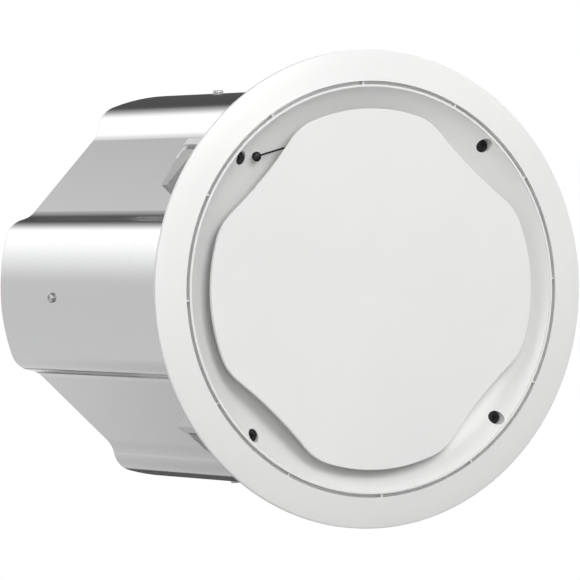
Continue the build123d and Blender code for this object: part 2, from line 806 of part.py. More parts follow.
def driver_yoke():
    """The back plate of the magnet with its vented pole."""
    low = GAP_Z + TOP_T + MAGNET_T
    yoke = disc(MAGNET_R - MAGNET_STEP, low, low + YOKE_T) + disc(POLE_R, GAP_Z, low)
    return yoke - disc(POLE_R / 3, GAP_Z, low + YOKE_T)


def voice_coil_former():
    """The thin tube that carries the coil."""
    return ring(COIL_R, COIL_R - FORMER_T, NECK_Z, FORMER_END)


def voice_coil():
    """The winding in the air gap."""
    return ring(COIL_R + COIL_T, COIL_R, COIL_START, COIL_END)


def cone():
    """The cone, from the surround down to the coil's former."""
    return turned(
        (CONE_R, FRAME_FRONT),
        [
            (CONE_R, FRAME_FRONT + CONE_T),
            (COIL_R + CONE_T, NECK_Z + CONE_T),
            (COIL_R + CONE_T, NECK_Z + GLUE_L),
            (COIL_R, NECK_Z + GLUE_L),
            (COIL_R, NECK_Z - CONE_T),
            (CONE_R - CONE_LIP, FRAME_FRONT),
        ],
    )


def dust_cap():
    """The domed cap over the coil."""
    fall = (CONE_R - CONE_LIP - COIL_R) / (NECK_Z - CONE_T - FRAME_FRONT)
    seat = NECK_Z - CONE_T - (CAP_R - COIL_R) / fall - FIT
    shell = turned((0.0, seat), [(CAP_R, seat), dome_step(CAP_R, seat, seat - CAP_RISE)])
    inside = CAP_R - CONE_T
    return shell - turned((0.0, seat), [(inside, seat), dome_step(inside, seat, seat - CAP_RISE + CONE_T)])


def surround():
    """The half-round rubber edge between the cone and the frame."""
    low = FRAME_FRONT - ROLL_T
    return turned(
        (SURROUND_R, FRAME_FRONT),
        [
            (SURROUND_R, low),
            (ROLL_OUT_R, low),
            ((ROLL_MID_R, low - ROLL_R), (ROLL_IN_R, low)),
            (SURROUND_IN_R, low),
            (SURROUND_IN_R, FRAME_FRONT),
            (ROLL_IN_R + ROLL_T, FRAME_FRONT),
            ((ROLL_MID_R, FRAME_FRONT - ROLL_R + ROLL_T), (ROLL_OUT_R - ROLL_T, FRAME_FRONT)),
        ],
    )


def spider():
    """The damper that centres the coil."""
    return ring(LEDGE_R - SPIDER_IN, COIL_R, LEDGE_Z - SPIDER_T, LEDGE_Z)


# Connections at the back: a spring terminal block, its tabs and leads, and the loop for a safety wire.
POCKET_HALF = LEVER_HALF + MOVING
LOOP_SPOTS = [(side * LOOP_HALF / 2, LOOP_AT + RIVET_IN) for side in (-1.0, 1.0)]


def terminal_block():
    """The plastic block of the spring terminals."""
    body = block(-BLOCK_X, BLOCK_X, BLOCK_AT - BLOCK_Y, BLOCK_AT + BLOCK_Y, CAN_REAR, BLOCK_TOP)
    body += block(-EAR_X, EAR_X, BLOCK_AT - BLOCK_Y, BLOCK_AT + BLOCK_Y, CAN_REAR, CAN_REAR + EAR_T)
    body += block(-PLUG_X, PLUG_X, BLOCK_AT - PLUG_Y, BLOCK_AT + PLUG_Y, CAN_REAR - PLUG_DEEP, CAN_REAR)
    for side in (-1.0, 1.0):
        x = side * LEVER_X
        half = POCKET_HALF
        body -= block(x - half, x + half, BLOCK_AT - POCKET_Y, BLOCK_AT + POCKET_Y, POCKET_Z, BLOCK_TOP)
        pin = Pos(x - half - PIVOT_IN - FIT, PIVOT_Y, PIVOT_Z) * Rot(Y=90)
        body -= pin * extrude(Circle(PIVOT_R + RUNNING), 2.0 * (half + PIVOT_IN + FIT))
        hole = Pos(x, BLOCK_AT + BLOCK_Y, WIRE_HOLE_Z) * Rot(X=90)
        body -= hole * extrude(Circle(WIRE_HOLE_R), BLOCK_Y - POCKET_Y)
        body -= Pos(side * EAR_SCREW_X, BLOCK_AT, 0.0) * disc(HOLE_R, CAN_REAR, CAN_REAR + EAR_T)
    return body


def terminal_lever(side):
    """One spring lever on its pin, standing clear of the block until it is pressed."""
    x = side * LEVER_X
    arm = block(x - LEVER_HALF, x + LEVER_HALF, 0.0, LEVER_L, -LEVER_T / 2, LEVER_T / 2)
    hub = Pos(x - LEVER_HALF, 0.0, 0.0) * Rot(Y=90) * extrude(Circle(LEVER_T), 2.0 * LEVER_HALF)
    half = POCKET_HALF + PIVOT_IN
    pin = Pos(x - half, 0.0, 0.0) * Rot(Y=90) * extrude(Circle(PIVOT_R), 2.0 * half)
    return Pos(0.0, PIVOT_Y, PIVOT_Z) * Rot(X=LEVER_LIFT) * (arm + hub + pin)


def terminal_tabs():
    """The two solder tabs inside the can."""
    made = []
    for side in (-1.0, 1.0):
        x = side * TAB_X
        low = BLOCK_AT - TAB_T / 2
        made.append(block(x - TAB_HALF, x + TAB_HALF, low, low + TAB_T, TAB_END, TAB_END + TAB_L))
    return group(made)


def block_screws():
    """The two screws of the terminal block."""
    made = []
    for side in (-1.0, 1.0):
        seat = Pos(side * EAR_SCREW_X, BLOCK_AT, CAN_REAR + EAR_T)
        made.append(seat * Rot(X=180) * pan_screw(BLOCK_SCREW_L))
    return group(made)


def safety_loop():
    """The bent strap on the back plate for a safety wire."""
    edge = LOOP_AT + SHEET
    foot = block(-LOOP_HALF, LOOP_HALF, LOOP_AT, LOOP_AT + LOOP_FOOT, CAN_REAR, CAN_REAR + SHEET)
    tab = block(-LOOP_HALF, LOOP_HALF, LOOP_AT, edge, CAN_REAR, CAN_REAR + LOOP_H)
    tips = [e for e in tab.edges().filter_by(Axis.Y) if e.center().Z > CAN_REAR + LOOP_H / 2]
    tab = fillet(tips, LOOP_ROUND)
    eye = Pos(0.0, edge, CAN_REAR + LOOP_H - LOOP_HALF) * Rot(X=90)
    strap = foot + tab - eye * extrude(Circle(LOOP_HOLE_R), SHEET)
    for x, y in LOOP_SPOTS:
        strap -= Pos(x, y, 0.0) * disc(RIVET_R + FIT, CAN_REAR, CAN_REAR + SHEET)
    return strap


def loop_rivets():
    """The two rivets of the safety loop."""
    made = []
    for x, y in LOOP_SPOTS:
        shank = disc(RIVET_R, WALL_END, CAN_REAR + SHEET)
        head = disc(RIVET_HEAD_R, CAN_REAR + SHEET, CAN_REAR + SHEET + RIVET_HEAD_H)
        tail = disc(RIVET_TAIL_R, WALL_END - RIVET_TAIL_H, WALL_END)
        made.append(Pos(x, y, 0.0) * (shank + head + tail))
    return group(made)


def back_plate():
    """The plate that closes the can, with its rounded edge and its holes."""
    plate = slab(lobed(0.0), WALL_END, CAN_REAR)
    rim = plate.faces().sort_by(Axis.Z)[-1].edges()
    plate = fillet(rim, BACK_ROUND)
    for x, y in BACK_SPOTS:
        plate -= Pos(x, y, 0.0) * disc(HOLE_R, WALL_END, CAN_REAR)
    for x, y in LOOP_SPOTS:
        plate -= Pos(x, y, 0.0) * disc(RIVET_R + FIT, WALL_END, CAN_REAR)
    for side in (-1.0, 1.0):
        plate -= Pos(side * EAR_SCREW_X, BLOCK_AT, 0.0) * disc(HOLE_R, WALL_END, CAN_REAR)
    gap_x = PLUG_X + FIT
    gap_y = PLUG_Y + FIT
    plate -= block(-gap_x, gap_x, BLOCK_AT - gap_y, BLOCK_AT + gap_y, WALL_END, CAN_REAR)
    return plate


# Driver's tag strip and the leads to it.


def driver_terminals():
    """The tag strip on the frame's neck."""
    return block(-STRIP_X, STRIP_X, STRIP_Y, STRIP_Y + STRIP_T, STRIP_Z, STRIP_END)


def lead(side):
    """One lead from a tab to the tag strip, bowed round the magnet's edge."""
    x = side * TAB_X
    y = STRIP_Y + STRIP_T / 2
    high = TAB_END - LEAD_STUB
    low = STRIP_END + LEAD_STUB
    bow = (x, BLOCK_AT + LEAD_BOW, (high + low) / 2)
    route = [(x, BLOCK_AT, TAB_END), (x, BLOCK_AT, high), bow, (x, y, low), (x, y, STRIP_END)]
    path = FilletPolyline(*route, radius=LEAD_BEND)
    section = Plane(origin=path @ 0, z_dir=path % 0) * Circle(LEAD_R)
    return sweep(section, path)


def leads():
    """The pair of leads inside the can."""
    return group([lead(-1.0), lead(1.0)])


# Pieces of the list, each under its own name.
PIECES = {
    "front_bezel": front_bezel(),
    "deflector_plate": deflector_plate(),
    "plate_screws": plate_screws(),
    "tether_button": tether_button(BUTTON_XY),
    "tether_anchor": tether_button(ANCHOR_XY),
    "tether_wire": tether_wire(),
    "front_gasket": front_gasket(),
    "ring_screws": ring_screws(),
    "can_front_ring": can_front_ring(),
    "can_wall": can_wall(),
    "can_back_ring": can_back_ring(),
    "back_plate": back_plate(),
    "back_screws": back_screws(),
    "driver_board": driver_board(),
    "board_screws": board_screws(),
    "port_tube": port_tube(),
    "driver_basket": driver_basket(),
    "driver_gasket": driver_gasket(),
    "driver_screws": driver_screws(),
    "driver_top_plate": driver_top_plate(),
    "driver_magnet": driver_magnet(),
    "driver_yoke": driver_yoke(),
    "voice_coil_former": voice_coil_former(),
    "voice_coil": voice_coil(),
    "cone": cone(),
    "dust_cap": dust_cap(),
    "surround": surround(),
    "spider": spider(),
    "driver_terminals": driver_terminals(),
    "leads": leads(),
    "terminal_block": terminal_block(),
    "terminal_lever_1": terminal_lever(-1.0),
    "terminal_lever_2": terminal_lever(1.0),
    "terminal_tabs": terminal_tabs(),
    "block_screws": block_screws(),
    "safety_loop": safety_loop(),
    "loop_rivets": loop_rivets(),
}
for number, angle in enumerate(DIAGONALS, start=1):
    PIECES[f"dog_screw_{number}"] = turned_to(dog_screw(), angle)
    PIECES[f"dog_insert_{number}"] = turned_to(dog_insert(), angle)
    PIECES[f"dog_arm_{number}"] = turned_to(dog_arm(), angle)

# The finished part lies with its axis level: the face looks towards -Y and the can runs back along +Y.
LEVEL = Rot(X=-90)
os.makedirs("parts", exist_ok=True)
for name, shape in PIECES.items():
    export_step(LEVEL * shape, f"parts/{name}.step")
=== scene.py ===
"""In-ceiling speaker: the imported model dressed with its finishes, fine pieces and a plain stage."""

import json
import math

import bpy
from bpy.props import FloatProperty, FloatVectorProperty, IntProperty, PointerProperty
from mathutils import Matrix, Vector

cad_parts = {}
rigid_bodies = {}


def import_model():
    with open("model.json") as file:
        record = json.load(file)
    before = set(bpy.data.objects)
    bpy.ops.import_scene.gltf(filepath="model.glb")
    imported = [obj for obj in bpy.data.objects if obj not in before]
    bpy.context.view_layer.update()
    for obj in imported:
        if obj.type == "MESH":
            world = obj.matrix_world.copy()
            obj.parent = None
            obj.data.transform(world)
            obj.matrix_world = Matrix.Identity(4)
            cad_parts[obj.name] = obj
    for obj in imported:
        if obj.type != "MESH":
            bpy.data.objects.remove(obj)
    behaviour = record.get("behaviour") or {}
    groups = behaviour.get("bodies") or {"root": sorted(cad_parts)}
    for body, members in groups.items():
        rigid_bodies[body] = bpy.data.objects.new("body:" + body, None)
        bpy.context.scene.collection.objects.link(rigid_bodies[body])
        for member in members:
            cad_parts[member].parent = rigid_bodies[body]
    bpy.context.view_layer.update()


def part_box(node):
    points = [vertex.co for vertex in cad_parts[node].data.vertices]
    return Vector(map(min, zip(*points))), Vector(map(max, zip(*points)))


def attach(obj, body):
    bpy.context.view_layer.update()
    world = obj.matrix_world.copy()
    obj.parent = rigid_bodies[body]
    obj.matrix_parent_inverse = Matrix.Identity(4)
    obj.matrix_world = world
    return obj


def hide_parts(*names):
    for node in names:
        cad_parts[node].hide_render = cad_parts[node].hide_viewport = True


bl_info = {
    "name": "In-ceiling speaker",
    "version": (1, 0, 0),
    "blender": (4, 5, 0),
    "location": "View3D > Sidebar > Speaker",
    "description": "Dresses the packed speaker with its finishes, fine pieces and a plain stage",
    "category": "Object",
}

for leftover in list(bpy.data.objects):
    bpy.data.objects.remove(leftover, do_unlink=True)
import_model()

CLAMPS = (1, 2, 3, 4)
NIBS = 12
MM = 0.001
WELD = 0.000002

# Radii and depths that single out the groove and its nibs on the solid moulding.
GROOVE_RADII = (149.5 * MM, 152.3 * MM)
GROOVE_FLOOR = (-3.1 * MM, -2.9 * MM)
GROOVE_RIM = -6.9 * MM
NIB_DEPTHS = (-6.4 * MM, -2.9 * MM)
NIB_TOP = -5.0 * MM
NIB_REACH = 3.2 * MM
NIB_SOLID = 6.0 * MM

# The clamp screw's head from its flat top to its rim: inset from the rim and depth below the top.
HEAD_ROUND = ((1.1 * MM, 0.0), (0.45 * MM, 0.18 * MM), (0.1 * MM, 0.6 * MM), (0.0, 1.2 * MM))
# One ridge of the thread: share of the pitch along the screw and share of the thread's height.
RIDGE = ((0.0, 0.0), (0.35, 0.0), (0.6, 1.0), (0.75, 1.0))
THREAD_STARTS = 2
THREAD_STEPS = 20
THREAD_OVERLAP = 1.0 * MM
NECK = 0.4 * MM
POINT_ROOM = 1.2 * MM
POINT_LONG = 0.8 * MM
POINT_IN = 0.7 * MM
CROSS_REACH = 0.58
CROSS_TAPER = 0.6

# How far the bumps of the finishes rise.
GRAIN_RISE = 0.0002
BRUSH_RISE = 0.00005
CLOTH_RISE = 0.0002
WINDING_RISE = 0.0001
# How much the speckle darkens a brushed surface.
SPECKLE_SHARE = 0.35

# The middle of the speaker's depth, over which the floor is centred.
MIDDLE = 0.17
# The floor turns from shaded to plain white between these distances and shares of white.
FADE_DISTANCES = (0.35, 0.85)
FADE_SHARES = (0.66, 1.0)
# Heights of the sky between which the soft light grows.
HORIZON = (-0.3, 0.3)
# The graded screen's brightness at angles round the axis; zero is to the right and ninety is up. The screen
# glows and shows only in glossy surfaces, so these stops paint the light and dark reflection bands on the
# can.
PAINTED_REFLECTION_STOPS = (
    (-180.0, 0.465), (-60.0, 0.465), (-30.0, 0.045), (50.0, 0.045), (64.0, 0.07), (80.0, 0.22),
    (96.0, 0.43), (107.0, 0.68), (118.0, 0.86), (128.0, 1.0), (148.0, 1.0), (162.0, 0.70),
    (174.0, 0.465), (180.0, 0.465),
)


def length(name, default, description):
    """A length in metres that a user may change."""
    return FloatProperty(
        name=name, description=description, default=default, min=0.0, unit="LENGTH", precision=5
    )


def tint(name, default, description):
    """A colour that a user may change."""
    return FloatVectorProperty(
        name=name, description=description, default=default, subtype="COLOR", min=0.0, max=1.0
    )


def level(name, default, description):
    """A plain amount."""
    return FloatProperty(name=name, description=description, default=default, min=0.0)


def place(name, default, description):
    """A point in the model's frame."""
    return FloatVectorProperty(
        name=name, description=description, default=default, subtype="XYZ", unit="LENGTH", precision=4
    )


class SpeakerSizes(bpy.types.PropertyGroup):
    """Sizes of the fine pieces."""

    thread_lead: length("Thread lead", 0.003, "How far a clamp moves for one turn of its screw")
    thread_deep: length("Thread depth", 0.00045, "Height of the clamp screw's thread")
    thread_start: length("Thread start", 0.012, "Depth at which the clamp screw's thread starts")
    shank_r: length("Shank radius", 0.002, "Radius of the clamp screw's shank")
    head_high: length("Head height", 0.003, "Height of a clamp screw's solid head")
    head_more: length("Head growth", 0.0004, "How much wider a clamp screw's head is than its solid one")
    head_rise: length("Head rise", 0.0018, "How far a clamp screw's head stands above its solid one")
    cross_wide: length("Cross width", 0.0011, "Width of one arm of the cross recess")
    cross_deep: length("Cross depth", 0.0016, "Depth of the cross recess")
    nib_wide: length("Nib width", 0.0013, "Width of a nib in the groove")
    nib_sink: length("Nib sink", 0.0008, "How far the nibs lie below their solid ones")
    groove_edge: length("Groove edge", 0.00015, "Rounding of the groove's edges")
    groove_more: length("Groove depth", 0.0024, "How far the groove's floor lies below its solid one")
    arm_edge: length("Arm edge", 0.0007, "Rounding of the clamp arms' edges")
    round_steps: IntProperty(name="Round steps", description="Sides of a turned piece", default=40, min=8)


class SpeakerColours(bpy.types.PropertyGroup):
    """Colours of the finishes, each with the shade for its darker places."""

    moulding: tint("Moulding", (0.80, 0.80, 0.79), "White moulding and plate")
    moulding_deep: tint("Moulding shade", (0.77, 0.77, 0.765), "Clouds in the white moulding")
    can: tint("Can", (0.50, 0.502, 0.505), "Brushed aluminium of the can")
    can_deep: tint("Can shade", (0.47, 0.472, 0.475), "Dark brush lines of the can")
    zinc: tint("Bright screw", (0.44, 0.44, 0.435), "Zinc-plated screws and loop")
    zinc_deep: tint("Bright screw shade", (0.32, 0.32, 0.32), "Dull places of the zinc plating")
    oxide: tint("Black screw", (0.018, 0.018, 0.019), "Blackened clamp screws and driver frame")
    oxide_deep: tint("Black screw shade", (0.008, 0.008, 0.009), "Deep places of the blackening")
    plastic: tint("Black plastic", (0.012, 0.012, 0.013), "Button, port and terminals")
    plastic_deep: tint("Black plastic shade", (0.006, 0.006, 0.007), "Clouds in the black plastic")
    red: tint("Red lever", (0.55, 0.025, 0.02), "Red terminal lever")
    red_deep: tint("Red lever shade", (0.42, 0.016, 0.014), "Clouds in the red lever")
    nylon: tint("Clamp arm", (0.53, 0.53, 0.525), "Grey nylon of the clamp arms")
    nylon_deep: tint("Clamp arm shade", (0.47, 0.47, 0.465), "Clouds in the grey nylon")
    brass: tint("Brass", (0.72, 0.50, 0.20), "Threaded inserts and tabs")
    brass_deep: tint("Brass shade", (0.48, 0.31, 0.11), "Tarnish on the brass")
    rubber: tint("Rubber", (0.022, 0.022, 0.022), "Gaskets and surround")
    rubber_deep: tint("Rubber shade", (0.011, 0.011, 0.011), "Clouds in the rubber")
    board: tint("Board", (0.33, 0.21, 0.115), "Fibreboard")
    board_deep: tint("Board shade", (0.20, 0.115, 0.055), "Dark fibres of the board")
    ferrite: tint("Ferrite", (0.045, 0.043, 0.042), "Magnet ring")
    ferrite_deep: tint("Ferrite shade", (0.02, 0.02, 0.02), "Pores of the magnet ring")
    steel: tint("Steel", (0.46, 0.455, 0.44), "Plates of the magnet")
    steel_deep: tint("Steel shade", (0.33, 0.325, 0.31), "Dull places of the plates")
    pulp: tint("Cone", (0.035, 0.034, 0.033), "Paper cone and dust cap")
    pulp_deep: tint("Cone shade", (0.015, 0.015, 0.014), "Fibres of the cone")
    damper: tint("Damper", (0.55, 0.36, 0.10), "Cloth of the damper")
    damper_deep: tint("Damper shade", (0.33, 0.19, 0.04), "Gaps of the cloth")
    copper: tint("Copper", (0.70, 0.29, 0.13), "Voice coil")
    copper_deep: tint("Copper shade", (0.34, 0.11, 0.04), "Gaps between the turns")
    floor: tint("Floor", (0.40, 0.40, 0.40), "Pale floor")
    backdrop: tint("Backdrop", (1.0, 1.0, 1.0), "White behind the speaker")
    # Painted dark reflection: the low cards show only in glossy surfaces, where this grey stands in for
    # shade under the can.
    card: tint("Card", (0.10, 0.10, 0.10), "Dark grey of the low cards")


class SpeakerStage(bpy.types.PropertyGroup):
    """Floor, lamps and camera."""

    floor_down: length("Floor", 0.30, "How far the floor lies below the axis")
    floor_wide: length("Floor radius", 3.0, "Radius of the floor")
    ambient: level("Ambient", 0.38, "Soft light from above")
    ambient_low: level("Low ambient", 0.0, "Soft light from below")
    key_power: level("Key lamp", 24.2, "Power of the lamp above the speaker's face")
    key_at: place("Key place", (0.163, -1.859, 1.166), "Where the key lamp stands")
    left_power: level("Left lamp", 13.8, "Power of the lamp at the left")
    left_at: place("Left place", (-1.802, -0.483, 1.166), "Where the left lamp stands")
    right_power: level("Right lamp", 5.3, "Power of the lamp at the right")
    right_at: place("Right place", (1.616, -0.933, 1.166), "Where the right lamp stands")
    lamp_wide: length("Lamp width", 1.2, "Side of the three high lamps")
    low_power: level("Low lamp", 8.0, "Power of the small lamp beside the camera")
    low_at: place("Low place", (-0.750, -2.060, 0.192), "Where the small lamp stands")
    low_wide: length("Low lamp width", 0.85, "Side of the small lamp")
    # The graded screen and the dark strip with its end show only in glossy surfaces: they are painted
    # reflections, the screen's glow for the can's light bands and the strip's grey for shade under the can.
    screen_away: length("Graded reflection screen", 4.2, "How far behind the flange the graded screen stands")
    screen_wide: length("Screen width", 6.4, "Width of the graded screen")
    screen_level: level("Screen level", 2.15, "Brightness of the screen's light end")
    card_at: place("Dark strip", (0.275, 0.775, -0.298), "Middle of the dark strip on the floor")
    card_wide: length("Strip width", 0.45, "Width of the dark strip")
    card_long: length("Strip length", 0.65, "Length of the dark strip")
    end_at: place("Dark end", (0.50, 1.12, -0.20), "Middle of the upright end of the dark strip")
    end_wide: length("End width", 0.50, "Width of the upright end")
    end_high: length("End height", 0.20, "Height of the upright end")
    camera_at: place("Camera", (-2.0504, -3.8903, 0.1444), "Where the camera stands")
    camera_turn: FloatVectorProperty(
        name="Camera turn",
        description="How the camera is turned",
        default=(math.radians(88.1442), math.radians(2.6057), math.radians(-27.1211)),
        subtype="EULER",
        unit="ROTATION",
    )
    lens: FloatProperty(
        name="Lens", description="Focal length", default=373.65, min=1.0, unit="CAMERA"
    )


# Shader nodes and shared shader groups.


def new_group(name, inputs, outputs):
    """A shader group with a place, number inputs and number outputs."""
    group = bpy.data.node_groups.new(name, "ShaderNodeTree")
    group.interface.new_socket("Place", in_out="INPUT", socket_type="NodeSocketVector")
    for title, value in inputs:
        socket = group.interface.new_socket(title, in_out="INPUT", socket_type="NodeSocketFloat")
        socket.default_value = value
    for title in outputs:
        group.interface.new_socket(title, in_out="OUTPUT", socket_type="NodeSocketFloat")
    return group, group.nodes.new("NodeGroupInput"), group.nodes.new("NodeGroupOutput")


def feed(tree, value, socket):
    """Links a socket to another one, or gives it a plain number."""
    if isinstance(value, float):
        socket.default_value = value
    else:
        tree.links.new(value, socket)


def noise_node(tree, vector, scale, detail, roughness=0.5):
    """A noise texture that reads a vector socket and a scale socket or number."""
    node = tree.nodes.new("ShaderNodeTexNoise")
    tree.links.new(vector, node.inputs["Vector"])
    feed(tree, scale, node.inputs["Scale"])
    node.inputs["Detail"].default_value = detail
    node.inputs["Roughness"].default_value = roughness
    return node.outputs["Fac"]


def wave_node(tree, vector, scale, direction, distortion):
    """A wave texture whose bands lie across one axis."""
    node = tree.nodes.new("ShaderNodeTexWave")
    node.bands_direction = direction
    node.inputs["Distortion"].default_value = distortion
    tree.links.new(vector, node.inputs["Vector"])
    tree.links.new(scale, node.inputs["Scale"])
    return node.outputs["Fac"]


def ramp_node(tree, value, low, high, to_low=0.0, to_high=1.0):
    """A number moved from one range to another and held inside it."""
    node = tree.nodes.new("ShaderNodeMapRange")
    tree.links.new(value, node.inputs["Value"])
    node.inputs["From Min"].default_value = low
    node.inputs["From Max"].default_value = high
    node.inputs["To Min"].default_value = to_low
    node.inputs["To Max"].default_value = to_high
    return node.outputs["Result"]


def math_node(tree, operation, *values):
    """The result of an operation on sockets or numbers."""
    node = tree.nodes.new("ShaderNodeMath")
    node.operation = operation
    for slot, value in enumerate(values):
        feed(tree, value, node.inputs[slot])
    return node.outputs["Value"]


def build_grain_group():
    """Fine surface grain with soft clouds, for moulded and cast surfaces."""
    group, source, result = new_group(
        "Moulded grain", [("Grain", 900.0), ("Cloud", 14.0)], ["Grain", "Cloud"]
    )
    where = source.outputs["Place"]
    fine = noise_node(group, where, source.outputs["Grain"], 2.0)
    cloud = noise_node(group, where, source.outputs["Cloud"], 3.0)
    group.links.new(ramp_node(group, fine, 0.3, 0.7), result.inputs["Grain"])
    group.links.new(ramp_node(group, cloud, 0.32, 0.68), result.inputs["Cloud"])


def build_brush_group():
    """Brush lines that run round the axis, with fine speckle and broad rolling bands."""
    group, source, result = new_group(
        "Brush lines",
        [("Lines", 1600.0), ("Run", 14.0), ("Speckle", 420.0)],
        ["Lines", "Bands", "Speckle"],
    )
    where = source.outputs["Place"]
    stretch = group.nodes.new("ShaderNodeCombineXYZ")
    group.links.new(source.outputs["Run"], stretch.inputs["X"])
    group.links.new(source.outputs["Lines"], stretch.inputs["Y"])
    group.links.new(source.outputs["Run"], stretch.inputs["Z"])
    scaled = group.nodes.new("ShaderNodeVectorMath")
    scaled.operation = "MULTIPLY"
    group.links.new(where, scaled.inputs[0])
    group.links.new(stretch.outputs["Vector"], scaled.inputs[1])
    lines = noise_node(group, scaled.outputs["Vector"], 1.0, 4.0, 0.7)
    bands = noise_node(group, scaled.outputs["Vector"], 0.09, 2.0)
    speckle = noise_node(group, where, source.outputs["Speckle"], 3.0, 0.6)
    group.links.new(ramp_node(group, lines, 0.3, 0.7), result.inputs["Lines"])
    group.links.new(ramp_node(group, bands, 0.3, 0.7), result.inputs["Bands"])
    group.links.new(ramp_node(group, speckle, 0.58, 0.72), result.inputs["Speckle"])


def build_weave_group():
    """Crossed threads, for cloth."""
    group, source, result = new_group(
        "Crossed threads", [("Across", 900.0), ("Along", 900.0)], ["Threads", "Gaps"]
    )
    where = source.outputs["Place"]
    across = wave_node(group, where, source.outputs["Across"], "X", 0.4)
    along = wave_node(group, where, source.outputs["Along"], "Z", 0.4)
    group.links.new(math_node(group, "MAXIMUM", across, along), result.inputs["Threads"])
    group.links.new(math_node(group, "MULTIPLY", across, along), result.inputs["Gaps"])


def build_winding_group():
    """Turns of wire laid side by side along the axis."""
    group, source, result = new_group("Wound turns", [("Turns", 1000.0)], ["Turns"])
    turns = wave_node(group, source.outputs["Place"], source.outputs["Turns"], "Y", 0.1)
    group.links.new(turns, result.inputs["Turns"])


GROUPS = {
    "Moulded grain": build_grain_group,
    "Brush lines": build_brush_group,
    "Crossed threads": build_weave_group,
    "Wound turns": build_winding_group,
}


def empty_material(name):
    """A new material with nothing but its output."""
    material = bpy.data.materials.new(name)
    material.use_nodes = True
    material.node_tree.nodes.clear()
    return material, material.node_tree, material.node_tree.nodes.new("ShaderNodeOutputMaterial")


class Finish:
    """A material under construction: its tree, its skin and the object's own coordinates."""

    def __init__(self, name, metallic=0.0):
        self.material, self.tree, output = empty_material(name)
        self.skin = self.tree.nodes.new("ShaderNodeBsdfPrincipled")
        self.skin.inputs["Metallic"].default_value = metallic
        self.tree.links.new(self.skin.outputs["BSDF"], output.inputs["Surface"])
        self.place = self.tree.nodes.new("ShaderNodeTexCoord").outputs["Object"]

    def group(self, name, **values):
        """One shared group with its own values."""
        if name not in bpy.data.node_groups:
            GROUPS[name]()
        node = self.tree.nodes.new("ShaderNodeGroup")
        node.node_tree = bpy.data.node_groups[name]
        self.tree.links.new(self.place, node.inputs["Place"])
        for title, value in values.items():
            node.inputs[title].default_value = value
        return node.outputs

    def colour(self, mask, pair):
        """The base colour runs from the deep to the light colour of a pair with the mask."""
        light, deep = pair
        mix = self.tree.nodes.new("ShaderNodeMix")
        mix.data_type = "RGBA"
        self.tree.links.new(mask, mix.inputs["Factor"])
        mix.inputs["A"].default_value = (*deep, 1.0)
        mix.inputs["B"].default_value = (*light, 1.0)
        self.tree.links.new(mix.outputs["Result"], self.skin.inputs["Base Color"])

    def roughness(self, mask, low, high):
        """The roughness runs from low to high with the mask."""
        rough = ramp_node(self.tree, mask, 0.0, 1.0, low, high)
        self.tree.links.new(rough, self.skin.inputs["Roughness"])

    def bump(self, height, strength, distance):
        """The surface rises with the height."""
        node = self.tree.nodes.new("ShaderNodeBump")
        node.inputs["Strength"].default_value = strength
        node.inputs["Distance"].default_value = distance
        self.tree.links.new(height, node.inputs["Height"])
        self.tree.links.new(node.outputs["Normal"], self.skin.inputs["Normal"])


def pair_of(colours, stem):
    """The light and the deep colour of one finish."""
    return getattr(colours, stem), getattr(colours, f"{stem}_deep")


def grained(name, pair, rough, grain, cloud, strength, metallic=0.0, shine=0.5):
    """A moulded or cast finish with fine grain and soft clouds."""
    finish = Finish(name, metallic)
    finish.skin.inputs["Specular IOR Level"].default_value = shine
    surface = finish.group("Moulded grain", Grain=grain, Cloud=cloud)
    finish.colour(surface["Cloud"], pair)
    finish.roughness(surface["Grain"], *rough)
    finish.bump(surface["Grain"], strength, GRAIN_RISE)
    return finish.material


def brushed(name, pair, rough, lines, run, strength):
    """A metal sheet with brush lines round the axis and fine speckle."""
    finish = Finish(name, 1.0)
    tree = finish.tree
    surface = finish.group("Brush lines", Lines=lines, Run=run)
    specks = math_node(tree, "MULTIPLY", surface["Speckle"], SPECKLE_SHARE)
    marks = math_node(tree, "SUBTRACT", surface["Lines"], specks)
    finish.colour(math_node(tree, "MAXIMUM", marks, 0.0), pair)
    half_bands = math_node(tree, "MULTIPLY", surface["Bands"], 0.5)
    finish.roughness(math_node(tree, "MULTIPLY_ADD", surface["Lines"], 0.5, half_bands), *rough)
    finish.bump(surface["Lines"], strength, BRUSH_RISE)
    return finish.material


def dress(material, *nodes):
    """Gives CAD nodes their finish."""
    for node in nodes:
        mesh = bpy.data.objects[node].data
        mesh.materials.clear()
        mesh.materials.append(material)


def numbered(stem):
    """The four nodes of one kind on the clamps."""
    return [f"{stem}_{k}" for k in CLAMPS]


# Modelling helpers.


def pick(*pieces):
    """Selects just these pieces and makes the last one active."""
    bpy.ops.object.select_all(action="DESELECT")
    for piece in pieces:
        piece.select_set(True)
        bpy.context.view_layer.objects.active = piece


def select_points(piece, wanted):
    """Enters edit mode with just the points that pass a test selected."""
    for face in piece.data.polygons:
        face.select = False
    for edge in piece.data.edges:
        edge.select = False
    for vertex in piece.data.vertices:
        vertex.select = wanted(vertex.co)
    bpy.ops.object.mode_set(mode="EDIT")
    bpy.ops.mesh.select_mode(type="VERT")


def start_line(name, first):
    """A new object in edit mode with one selected point."""
    bpy.ops.object.select_all(action="DESELECT")
    bpy.ops.mesh.primitive_plane_add(size=2.0 * MM, location=(first[0] + MM, first[1] + MM, first[2]))
    piece = bpy.context.object
    piece.name = name
    piece.data.name = name
    bpy.ops.object.transform_apply(location=True, rotation=True, scale=True)
    select_points(piece, lambda at: (at - Vector(first)).length > MM)
    bpy.ops.mesh.delete(type="VERT")
    bpy.ops.mesh.select_all(action="SELECT")
    return piece


def draw_line(points):
    """Extrudes the selected point through the other points of the line."""
    here = Vector(points[0])
    for point in points[1:]:
        step = Vector(point) - here
        bpy.ops.mesh.extrude_region_move(TRANSFORM_OT_translate={"value": step})
        here = Vector(point)


